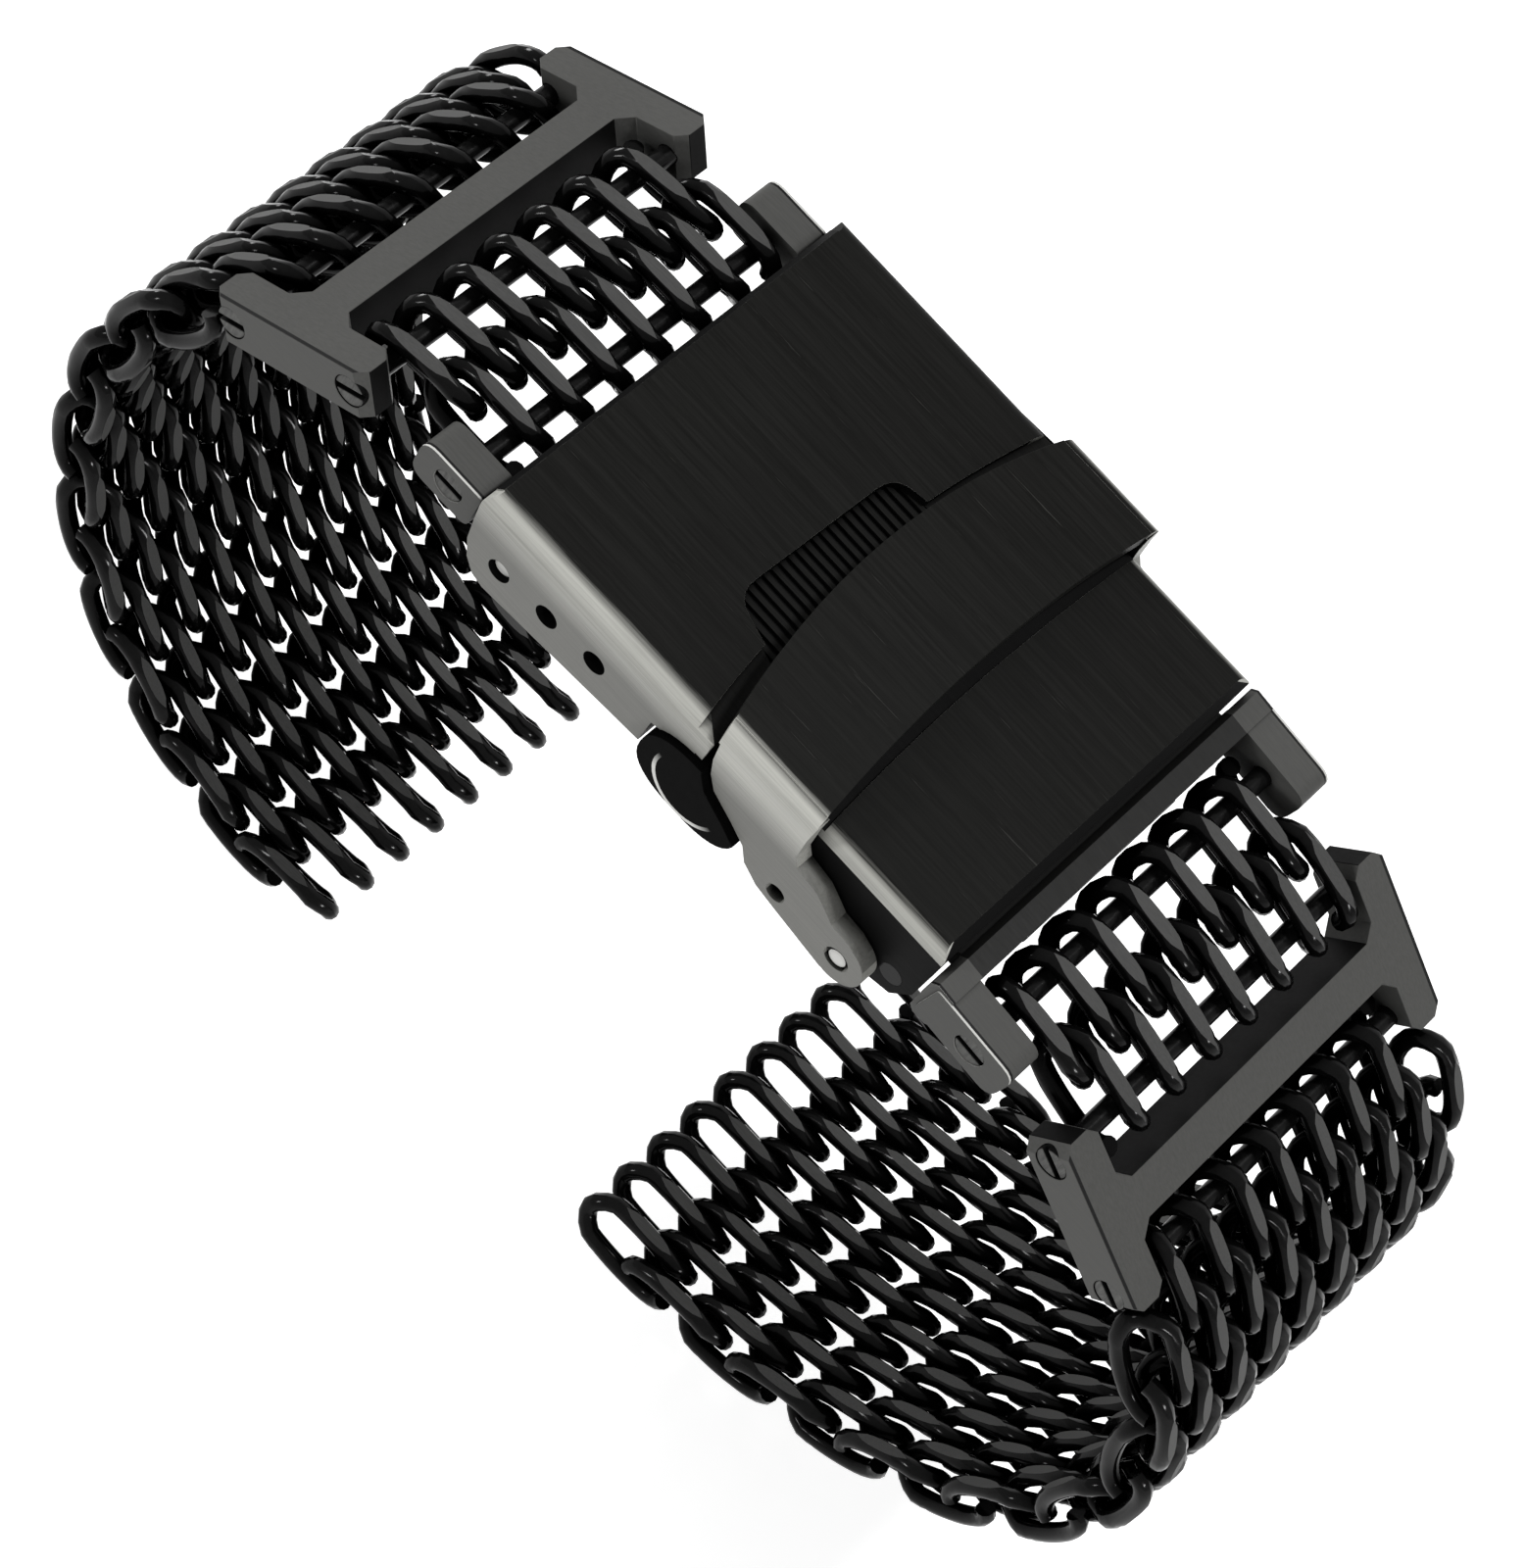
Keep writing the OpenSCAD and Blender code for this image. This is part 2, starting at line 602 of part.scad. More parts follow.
// The guide under the cover that holds the buttons' stems and their springs
module catch_guide() {
    guide_l = 3.2;
    slot_wall = guide_half_w + 1 - guide_wall / 2;
    color(ground_steel)
        in_clasp()
            translate([button_at[0], 0, 0])
                difference() {
                    translate([-guide_l / 2, -guide_half_w, stem_z - stem_h / 2 - guide_floor])
                        cube([guide_l, 2 * guide_half_w, -plate_t - stem_z + stem_h / 2 + guide_floor]);
                    both_sides()
                        translate([-stem_w / 2 - side_gap, -guide_half_w - 1, stem_z - stem_h / 2 - side_gap])
                            cube([stem_w + 2 * side_gap, slot_wall, 3]);
                }
}

// The outside of a coil spring, pressed together as far as the button's stem can push it
module button_spring_near() {
    color(grey_steel)
        in_clasp()
            rod([button_at[0], stem_z], 0.38, button_travel + side_gap - stem_reach, -guide_wall / 2);
}

module button_spring_far() {
    mirror([0, 1, 0]) button_spring_near();
}

// The outer blade: two rails from the cover's hinge to a crossbar at the fold
module outer_blade() {
    y_out = outer_blade_half;
    top = fold_hinge[1] + hinge_eye_d / 2;
    bar_x = fold_hinge[0] - hinge_eye_d / 2 - side_gap;
    color(ground_steel)
        in_clasp()
            difference() {
                union() {
                    both_sides()
                        upright(-y_out, -y_out + rail_w)
                            union() {
                                polygon([
                                    [bar_x - 0.5, top], [cover_hinge[0], top],
                                    [cover_hinge[0], top - blade_t], [bar_x - 0.5, top - blade_t]
                                ]);
                                translate(fold_hinge) circle(hinge_eye_d / 2, $fn = 48);
                                translate(cover_hinge) circle(hinge_eye_d / 2, $fn = 48);
                            }
                    // The crossbar behind the fold, above the inner blade's way
                    upright(-y_out, y_out)
                        polygon([
                            [bar_x - 0.9, top - 0.3], [bar_x - 0.6, top], [bar_x, top],
                            [bar_x, top - blade_t], [bar_x - 0.9, top - blade_t]
                        ]);
                }
                rod(fold_hinge, hinge_pin_d / 2 + fixed_gap, -half_w, half_w);
                rod(cover_hinge, hinge_pin_d / 2 + run_gap, -half_w, half_w);
            }
}

// The inner blade: a plate between the rails, from the fold to the pivot of end link B
module inner_blade() {
    y = inner_blade_half;
    end_x = strap_pivot_b[0] - 1.8;
    color(ground_steel)
        in_clasp()
            difference() {
                union() {
                    upright(-y, y)
                        polygon([
                            [fold_hinge[0] + 0.3, fold_hinge[1] + blade_t / 2],
                            [end_x - 0.3, fold_hinge[1] + blade_t / 2],
                            [strap_pivot_b[0] - 0.5, strap_pivot_b[1] + 0.6],
                            [strap_pivot_b[0] + 0.5, strap_pivot_b[1] - 0.7],
                            [end_x + 0.3, fold_hinge[1] - blade_t / 2],
                            [fold_hinge[0] + 0.3, fold_hinge[1] - blade_t / 2]
                        ]);
                    rod(fold_hinge, hinge_eye_d / 2, -y, y);
                    rod(strap_pivot_b, 0.9, -y, y);
                }
                rod(fold_hinge, hinge_pin_d / 2 + run_gap, -half_w, half_w);
                rod(strap_pivot_b, mesh_pin_d / 2 + run_gap, -half_w, half_w);
            }
}

module cover_hinge_pins() {
    color(grey_steel)
        in_clasp()
            both_sides()
                rod(cover_hinge, hinge_pin_d / 2, -inner_half_w, -inner_blade_half - side_gap);
}

module fold_hinge_pin() {
    color(grey_steel)
        in_clasp()
            rod(fold_hinge, hinge_pin_d / 2, -outer_blade_half, outer_blade_half);
}

module strap_pin_b() {
    color(grey_steel)
        in_clasp()
            rod(strap_pivot_b, mesh_pin_d / 2, -link_w / 2 + 0.6, link_w / 2 - 0.6);
}

// A sprung bar: a barrel with a thin pin at each end
module spring_bar() {
    barrel_half = inner_half_w - 1.2;
    color(grey_steel)
        in_clasp()
            union() {
                rod(bar_at, 0.8, -barrel_half, barrel_half);
                rod(bar_at, hole_d / 2 - run_gap, -half_w + 0.3, half_w - 0.3);
            }
}

// The two arms of an end link, in the link's own frame with the mesh pin at X = 0.
// Each is square beside the clasp and rounded beside the mesh.
module end_arms(x_from, x_to) {
    foot = [x_from, -end_arm_h];
    head = [x_from, end_arm_h];
    far_head = [x_to, end_arm_h];
    far_foot = [x_to, -end_arm_h];
    both_sides()
        upright(-link_w / 2, -link_w / 2 + arm_w - 0.1)
            polygon(concat(
                rounded_corner(far_foot, foot, head, 0.5), rounded_corner(foot, head, far_head, 0.2),
                rounded_corner(head, far_head, far_foot, 0.8), rounded_corner(far_head, far_foot, foot, 0.8)
            ));
}

// End link A: its tongue turns on the spring bar inside the cover
module end_link_a() {
    tongue_half = inner_half_w - 0.45;
    eye_r = 1.3;
    color(ground_steel)
        in_clasp()
            difference() {
                union() {
                    on_chain(-1, end_pin_a, end_slope_a) end_arms(-1.6, 1.9);
                    // The arms go on into the cover, narrower than its walls
                    both_sides()
                        upright(-tongue_half, -link_w / 2 + arm_w - 0.1)
                            polygon([
                                [end_pin_a[0], end_pin_a[1] + 0.6], [bar_at[0] - 1, bar_at[1] + 0.6],
                                [bar_at[0], bar_at[1] - eye_r], [end_pin_a[0], end_pin_a[1] - 0.9]
                            ]);
                    upright(-tongue_half, tongue_half)
                        union() {
                            translate([bar_at[0] - eye_r - 0.4, bar_at[1] - eye_r + 0.3])
                                square([eye_r + 0.4, 2 * eye_r - 0.6]);
                            translate(bar_at) circle(eye_r, $fn = 48);
                        }
                }
                rod(bar_at, 0.8 + run_gap, -half_w, half_w);
                on_chain(-1, end_pin_a, end_slope_a) turn_near(-1) mesh_pin_hole([0, 0]);
            }
}

// End link B: its crossbar turns on the strap pin at the inner blade's end
module end_link_b() {
    notch = 2 * (inner_blade_half + side_gap);
    bar_x0 = cover_x1 + 0.2;
    bar_x1 = end_pin_b[0] - 1.8;
    bar_top = strap_pivot_b[1] + 2.15;
    bar_foot = strap_pivot_b[1] - 0.9;
    bar_bevel = 0.3;
    lip_half = inner_half_w - inner_wall_t - side_gap;
    color(ground_steel)
        in_clasp()
            difference() {
                union() {
                    on_chain(1, end_pin_b, end_slope_b) end_arms(bar_x0 + 0.3 - end_pin_b[0], 2.1);
                    upright(-link_w / 2 + 0.1, link_w / 2 - 0.1)
                        polygon([
                            [bar_x0, bar_foot + bar_bevel], [bar_x0, bar_top - bar_bevel],
                            [bar_x0 + bar_bevel, bar_top], [bar_x1, bar_top - bar_bevel / 2],
                            [bar_x1, bar_foot + bar_bevel], [bar_x1 - bar_bevel, bar_foot],
                            [bar_x0 + bar_bevel, bar_foot]
                        ]);
                    // The lip that closes the gap under the end of the cover's plate
                    upright(-lip_half, lip_half)
                        polygon([
                            [cover_x1 - 0.35, -plate_t - 1.6], [cover_x1 - 0.35, -plate_t - 0.5],
                            [bar_x0 + 0.2, -plate_t - 0.4], [bar_x0 + 0.2, -plate_t - 1.7]
                        ]);
                }
                // Room for the eye of the inner blade
                translate([bar_x0 - 1, -notch / 2, strap_pivot_b[1] - 2])
                    cube([bar_x1 - bar_x0 + 2, notch, 3.15]);
                rod(strap_pivot_b, mesh_pin_d / 2 + fixed_gap, -link_w / 2 + 0.5, link_w / 2 - 0.5);
                on_chain(1, end_pin_b, end_slope_b) mesh_pin_hole([0, 0]);
            }
}

module end_pin(side, at, slope) {
    color(grey_steel)
        in_clasp()
            on_chain(side, at, slope) turn_near(side) mesh_pin([0, 0]);
}

clasp_cover();
safety_flap();
flap_pivot_pins();
push_button_near();
push_button_far();
button_spring_near();
button_spring_far();
catch_guide();
outer_blade();
inner_blade();
cover_hinge_pins();
fold_hinge_pin();
strap_pin_b();
spring_bar();
end_link_a();
end_pin(-1, end_pin_a, end_slope_a);
end_link_b();
end_pin(1, end_pin_b, end_slope_b);
h_link(-1, link_pin_a, h_slope_a);  // h_link_a
h_link_pins(-1, link_pin_a, h_slope_a);  // h_link_pins_a
h_link(1, link_pin_b, h_slope_b);  // h_link_b
h_link_pins(1, link_pin_b, h_slope_b);  // h_link_pins_b
short_row(-1, 0, end_pin_a, mid_a, short_slopes_a);  // short_row_a1
short_row(-1, 1, end_pin_a, mid_a, short_slopes_a);  // short_row_a2
short_row(1, 0, end_pin_b, mid_b, short_slopes_b);  // short_row_b1
short_row(1, 1, end_pin_b, mid_b, short_slopes_b);  // short_row_b2
for (i = [1 : rows_a])
    band_row(-1, i - 1, rows_a, hinges_a, slopes_a, row_pitch_a);
for (i = [1 : rows_b])
    band_row(1, i - 1, rows_b, hinges_b, slopes_b, row_pitch_b);
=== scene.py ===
import json
import math

import bmesh
import bpy
import numpy as np
from mathutils import Matrix, Vector

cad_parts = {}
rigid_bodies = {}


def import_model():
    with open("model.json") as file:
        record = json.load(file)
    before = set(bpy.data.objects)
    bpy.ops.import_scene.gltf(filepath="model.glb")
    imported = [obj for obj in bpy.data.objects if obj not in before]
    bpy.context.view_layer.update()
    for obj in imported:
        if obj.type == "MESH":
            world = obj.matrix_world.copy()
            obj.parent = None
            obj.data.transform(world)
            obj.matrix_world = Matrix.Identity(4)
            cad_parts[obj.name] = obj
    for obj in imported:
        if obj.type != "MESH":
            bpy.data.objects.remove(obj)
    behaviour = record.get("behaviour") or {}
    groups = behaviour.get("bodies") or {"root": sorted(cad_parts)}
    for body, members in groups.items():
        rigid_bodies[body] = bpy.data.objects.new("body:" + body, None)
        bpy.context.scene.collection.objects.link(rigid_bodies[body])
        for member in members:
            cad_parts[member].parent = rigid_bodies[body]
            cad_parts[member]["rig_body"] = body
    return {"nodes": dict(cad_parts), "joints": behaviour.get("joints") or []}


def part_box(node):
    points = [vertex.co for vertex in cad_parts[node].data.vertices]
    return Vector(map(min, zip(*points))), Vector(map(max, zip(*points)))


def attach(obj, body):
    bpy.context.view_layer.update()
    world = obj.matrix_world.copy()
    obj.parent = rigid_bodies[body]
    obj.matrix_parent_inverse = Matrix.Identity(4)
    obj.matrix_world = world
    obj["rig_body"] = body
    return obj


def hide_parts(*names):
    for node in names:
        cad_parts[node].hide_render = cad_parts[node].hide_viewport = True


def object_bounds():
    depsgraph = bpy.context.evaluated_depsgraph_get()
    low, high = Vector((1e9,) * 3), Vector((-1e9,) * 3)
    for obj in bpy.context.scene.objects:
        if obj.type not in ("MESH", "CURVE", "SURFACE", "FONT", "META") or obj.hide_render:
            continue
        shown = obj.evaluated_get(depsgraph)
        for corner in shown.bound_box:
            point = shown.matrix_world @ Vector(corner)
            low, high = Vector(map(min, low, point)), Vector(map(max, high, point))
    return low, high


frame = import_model()
cad_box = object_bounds()
nodes = frame["nodes"]
joints = {j["name"]: j for j in frame["joints"]}
MM = 0.001

# ---------------------------------------------------------------- shader helpers


def put(tree, socket, value):
    """Link another node's socket to this one, or set its number."""
    if isinstance(value, bpy.types.NodeSocket):
        tree.links.new(value, socket)
    else:
        socket.default_value = value


def add(tree, kind, inputs=None, **settings):
    node = tree.nodes.new("ShaderNode" + kind)
    for key, value in settings.items():
        setattr(node, key, value)
    for key, value in (inputs or {}).items():
        put(tree, node.inputs[key], value)
    return node


def calc(tree, operation, *values):
    return add(tree, "Math", dict(enumerate(values)), operation=operation).outputs[0]


def span(tree, value, from_low, from_high, to_low=0.0, to_high=1.0):
    """Carry a value from one range over to another, and stop at its ends."""
    return add(tree, "MapRange", {"Value": value, "From Min": from_low, "From Max": from_high,
                                  "To Min": to_low, "To Max": to_high}).outputs["Result"]


def mixed(tree, factor, a, b):
    return add(tree, "Mix", {"Factor": factor, "A": a, "B": b}, data_type="RGBA").outputs["Result"]


def two_tone(tree, value, low, high, dark, light):
    """A colour ramp from dark at low to light at high."""
    ramp = add(tree, "ValToRGB", {"Fac": value})
    first, last = ramp.color_ramp.elements
    first.position, last.position = low, high
    first.color, last.color = (*dark, 1), (*light, 1)
    return ramp.outputs["Color"]


def split(tree, kind):
    """The X, Y and Z of a point or of its normal, in the object's own axes."""
    xyz = add(tree, "SeparateXYZ", {"Vector": add(tree, "TexCoord").outputs[kind]})
    return xyz.outputs["X"], xyz.outputs["Y"], xyz.outputs["Z"]


def base_colour(m):
    p = m.node_tree.nodes["Principled BSDF"]
    return p.inputs["Base Color"].links[0].from_socket


# ---------------------------------------------------------------- materials

# The grain is made of fine streaks and of broad patches that shift them
FINE = {"Scale": 6.0, "Detail": 5.0, "Roughness": 0.65}
BROAD = {"Scale": 140.0, "Detail": 3.0}
BROAD_SHARE = 0.3
SCRATCH_DEPTH = 0.00002


def metal(name, colour, rough, metallic=0.0, specular=0.5, grain=(60, 900, 900), vary=0.25, bump=0.0,
          rough_vary=0.1):
    """A coated metal. Its grain runs along the axis with the lowest number (per metre)."""
    m = bpy.data.materials.new(name)
    m.use_nodes = True
    t = m.node_tree
    place = add(t, "TexCoord").outputs["Object"]
    stretched = add(t, "Mapping", {"Scale": grain, "Vector": place}).outputs["Vector"]
    fine = add(t, "TexNoise", {**FINE, "Vector": stretched}).outputs["Fac"]
    broad = add(t, "TexNoise", {**BROAD, "Vector": place}).outputs["Fac"]
    both = calc(t, "MULTIPLY_ADD", broad, BROAD_SHARE, fine)
    dark = [max(c * (1 - vary), 0.0) for c in colour]
    light = [min(c * (1 + vary), 1.0) for c in colour]
    p = t.nodes["Principled BSDF"]
    put(t, p.inputs["Metallic"], metallic)
    put(t, p.inputs["Specular IOR Level"], specular)
    put(t, p.inputs["Base Color"], two_tone(t, both, 0.42, 0.88, dark, light))
    smooth, dull = max(rough - rough_vary, 0.03), min(rough + rough_vary, 1.0)
    put(t, p.inputs["Roughness"], span(t, both, 0.3, 0.9, smooth, dull))
    if bump:
        relief = add(t, "Bump", {"Strength": bump, "Distance": SCRATCH_DEPTH, "Height": fine})
        put(t, p.inputs["Normal"], relief.outputs["Normal"])
    return m


def in_shade(m, reach, least=0.0, dark=0.25, light=0.85):
    """Painted shade: darker in the creases between neighbouring pieces, within reach (mm)."""
    t = m.node_tree
    p = t.nodes["Principled BSDF"]
    open_sky = add(t, "AmbientOcclusion", {"Distance": reach * MM}, samples=8)
    factor = span(t, open_sky.outputs["AO"], dark, light, least)
    darker = add(t, "VectorMath", {0: base_colour(m), "Scale": factor}, operation="SCALE")
    put(t, p.inputs["Base Color"], darker.outputs["Vector"])
    specular = p.inputs["Specular IOR Level"]
    level = specular.links[0].from_socket if specular.is_linked else specular.default_value
    put(t, specular, calc(t, "MULTIPLY", level, factor))
    return m


def shell():
    """The clasp's outer skin: black and brushed on top, running over round the edges into brushed grey, a painted
    reflection of bright surroundings.
    """
    m = metal("clasp_shell", (0.27, 0.27, 0.25), 0.42, specular=0.22, grain=(25, 900, 2600), vary=0.22, bump=0.3)
    t = m.node_tree
    p = t.nodes["Principled BSDF"]
    sides = base_colour(m)
    noise = t.nodes["Noise Texture"].outputs["Fac"]
    upward = split(t, "Normal")[2]
    _, across, height = split(t, "Object")
    speck = calc(t, "MULTIPLY_ADD", noise, 0.35, upward)
    # Where the top runs out to the near edge it breaks into bright specks of that painted reflection
    reflection_specks = span(t, across, -11.2 * MM, -10.3 * MM, 0.34, 0.0)
    black = span(t, calc(t, "SUBTRACT", speck, reflection_specks), 0.85, 1.12)
    # Painted highlight: the side is brightest just under its rounded top edge
    painted_highlight_gain = span(t, height, 1.0 * MM, 3.05 * MM, 0.5, 1.45)
    sides = add(t, "VectorMath", {0: sides, "Scale": painted_highlight_gain}, operation="SCALE").outputs["Vector"]
    tops = two_tone(t, noise, 0.35, 0.75, (0.0055, 0.0055, 0.005), (0.0125, 0.0125, 0.0117))
    put(t, p.inputs["Base Color"], mixed(t, black, sides, tops))
    put(t, p.inputs["Specular IOR Level"], span(t, black, 0.0, 1.0, 0.25, 0.03))
    return m


def with_lines(m, lines):
    """Bands along a link, each from and to a distance in mm from the middle, on all faces but the two sides."""
    t = m.node_tree
    colour = base_colour(m)
    away = calc(t, "ABSOLUTE", split(t, "Object")[1])
    not_side = calc(t, "COMPARE", split(t, "Normal")[1], 0.0, 0.5)
    for low, high, paint in lines:
        near = calc(t, "COMPARE", away, (low + high) / 2 * MM, (high - low) / 2 * MM)
        colour = mixed(t, calc(t, "MULTIPLY", near, not_side), colour, (*paint, 1))
    put(t, t.nodes["Principled BSDF"].inputs["Base Color"], colour)
    return m


def with_painted_rim_highlight(m, box):
    """A thin bright arc low on the round face of a button that fills this box: a painted highlight."""
    t = m.node_tree
    low, high = box
    radius = (high.z - low.z) / 2
    place = add(t, "TexCoord").outputs["Object"]
    away = add(t, "VectorMath", {0: place, 1: (low + high) / 2}, operation="SUBTRACT").outputs["Vector"]
    flat = add(t, "VectorMath", {0: away, 1: (1, 0, 1)}, operation="MULTIPLY").outputs["Vector"]
    length = add(t, "VectorMath", {0: flat}, operation="LENGTH").outputs["Value"]
    ring = calc(t, "COMPARE", length, radius - 0.1 * MM, 0.1 * MM)
    lower_left = (-0.35 / radius, 0, -0.94 / radius)
    toward = add(t, "VectorMath", {0: flat, 1: lower_left}, operation="DOT_PRODUCT").outputs["Value"]
    arc = calc(t, "MULTIPLY", ring, span(t, toward, 0.1, 0.6))
    put(t, t.nodes["Principled BSDF"].inputs["Base Color"], mixed(t, arc, base_colour(m), (0.6, 0.6, 0.58, 1)))
    return m


gloss = metal("wire_gloss_black", (0.003, 0.003, 0.003), 0.12, specular=0.075, grain=(500, 500, 500), vary=0.4,
              rough_vary=0.03)
ground = metal("wire_ground_face", (0.055, 0.055, 0.054), 0.55, specular=0.12, grain=(120, 2500, 2500), vary=0.2,
               bump=0.2)
top_black = metal("clasp_brushed_top", (0.0085, 0.0085, 0.008), 0.42, specular=0.03, grain=(25, 2600, 900),
                  vary=0.4, bump=0.25)
# Grey of the clasp's brushed sides: painted reflection of bright surroundings on the black coating
side_painted_reflection = metal("clasp_side_painted_reflection", (0.27, 0.27, 0.25), 0.42, specular=0.25, grain=(25, 900, 2600), vary=0.22,
                  bump=0.3)
# Bright rims and pin ends: painted highlight
edge_painted_highlight = metal("clasp_edge_painted_highlight", (0.50, 0.50, 0.48), 0.3, specular=0.4, grain=(25, 900, 900), vary=0.12)
# Near-black for recesses, gaps, slots and low walls: painted shade
recess_painted_shade = metal("recess_painted_shade", (0.0025, 0.0025, 0.0025), 0.5, specular=0.04, vary=0.3)
pin_grey = metal("pin_polished", (0.055, 0.055, 0.052), 0.35, specular=0.12, grain=(900, 900, 150), vary=0.8)
pin_black = metal("pin_black", (0.004, 0.004, 0.004), 0.2, specular=0.08, grain=(700, 700, 150), vary=0.4)
inside = metal("inside_satin", (0.014, 0.014, 0.0135), 0.45, specular=0.15)
button_black = metal("button_gloss", (0.003, 0.003, 0.003), 0.1, specular=0.006, grain=(300, 300, 300), vary=0.2)
spring_wire = metal("spring_wire", (0.42, 0.42, 0.41), 0.25, metallic=0.9, grain=(400, 400, 400), vary=0.1)
skin = shell()

# An end link's arms begin this far from its middle (mm). The bar between them is as dark as the clasp
ARM_IN = 9.0
SATIN = dict(colour=(0.064, 0.064, 0.061), rough=0.5, specular=0.12, grain=(120, 1500, 900), vary=0.14, bump=0.15)
h_grey = with_lines(metal("h_link_satin", **SATIN), [(10.8, 11.1, (0.004, 0.004, 0.004))])
# Along each end link's top edge, from 10.89 to 11.1 mm, runs a painted highlight, with a black line beside it
end_grey = with_lines(metal("end_link_satin", **SATIN),
                      [(0.0, ARM_IN, (0.011, 0.011, 0.0105)), (10.76, 10.89, (0.004, 0.004, 0.004)),
                       (10.89, 11.1, (0.55, 0.55, 0.53))])

# A painted highlight on the button's rim
with_painted_rim_highlight(button_black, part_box("push_button_near"))
# Painted shade in the creases of these materials
in_shade(gloss, 2.0, dark=0.4, light=1.0)
for m in (skin, top_black):
    in_shade(m, 1.2)
for m in (h_grey, end_grey, ground):
    in_shade(m, 1.0, least=0.15)

# ---------------------------------------------------------------- mesh wires

# These are the part's own sizes in mm. The wire is drawn a little thin, so that neighbours stay apart as they bend
TURN_PITCH, WIRE_D, TURN_H = 2.5, 1.0, 2.3
HOOK_DEPTH, PIN_D, LOOP_GAP, PIN_REACH = 2.35, 1.0, 0.25, 1.3
ROW_PITCH = {"short": 3.35, "a": 3.15, "b": 3.5}
BAND_STRANDS, LINK_STRANDS = 18, 14
LAST_BEND = {"a": 13.0, "b": 8.0}
WIRE_R = WIRE_D / 2
DRAWN_R = WIRE_R * 0.955
# How far a row's turns reach from its middle at a pin, and how square their curve is at a hook and at a pin
PIN_END = PIN_REACH + PIN_D / 2 + LOOP_GAP + WIRE_R
HOOK_POWER, PIN_POWER = 2.2, 2.9
# Height of the ground faces above the row's middle
FACE_Z = {"short": 1.48, "a": 1.52, "b": 1.52}
# Points along a strand, how far they crowd towards its ends, and sides of the wire
STRAND_POINTS, CROWDING, SIDES = 17, 0.09, 11
# Length at each end of a strand over which it leans towards the next one, and how much of the lean is straight
LEAN_REACH, LEAN_STRAIGHT = 1.3, 0.6


def lean(distance):
    w = np.clip(1 - distance / LEAN_REACH, 0, 1)
    return LEAN_STRAIGHT * w + (1 - LEAN_STRAIGHT) * w * w * (3 - 2 * w)


def one_strand(s, first, last, near, far):
    """Centre line of one strand in the row's own frame, from the loop before it to the loop after it."""
    t = np.linspace(0, 1, STRAND_POINTS)
    t = t + CROWDING * np.sin(2 * math.pi * t)
    a = math.pi * (1 - t)
    c, si = np.cos(a), np.sin(a)
    ahead = s * c > 0
    end = np.where(ahead, far[0], near[0])
    power = np.where(ahead, far[1], near[1])
    u = end * np.sign(c) * np.abs(c) ** (2 / power)
    z = TURN_H / 2 * np.abs(si) ** (2 / power)
    z[np.abs(si) < 1e-6] = 0.0
    seg = np.hypot(np.diff(u), np.diff(z))
    d = np.concatenate([[0], np.cumsum(seg)])
    # A wire's outermost strands have no neighbour, so they don't lean at that end
    if first:
        d = d + LEAN_REACH
    back = d[-1] - d
    if last:
        back = back + LEAN_REACH
    y = TURN_PITCH / 4 * (lean(back) - lean(d))
    return np.stack([s * u, y, s * z], axis=1)


def coil(strands, even_top, near, far):
    """The whole wire of a row. Its strands lie above and below by turns."""
    points = []
    for k in range(strands):
        s = 1 if (k % 2 == 0) == even_top else -1
        p = one_strand(s, k == 0, k == strands - 1, near, far)
        p[:, 1] += (k - (strands - 1) / 2) * TURN_PITCH / 2
        points.extend(p if k == 0 else p[1:])
    return np.array(points)


def tube_rings(path, r, face):
    """Rings round the path, cut flat where they pass the ground face, and half the angle that each cut takes."""
    d = np.gradient(path, axis=0)
    d /= np.linalg.norm(d, axis=1)[:, None]
    rings, halves = [], []
    for p, t in zip(path, d):
        side = np.array([0.0, 1.0, 0.0]) - t[1] * t
        side /= np.linalg.norm(side)
        out = np.cross(t, side)
        if out[2] * p[2] < 0:
            out = -out
        lift = abs(out[2])
        cut = (face - abs(p[2])) / (r * lift) if lift > 0.05 else 2.0
        half = math.acos(cut) if cut < 1 else 0.0
        angles = np.linspace(half, 2 * math.pi - half, SIDES + 1)
        rings.append(p + r * (np.cos(angles)[:, None] * out + np.sin(angles)[:, None] * side))
        halves.append(half)
    return np.array(rings), halves


def new_object(name, verts, faces):
    """An object in the scene. verts are in mm."""
    mesh = bpy.data.meshes.new(name)
    mesh.from_pydata([tuple(v) for v in np.array(verts) * MM], [], faces)
    obj = bpy.data.objects.new(name, mesh)
    bpy.context.scene.collection.objects.link(obj)
    return obj


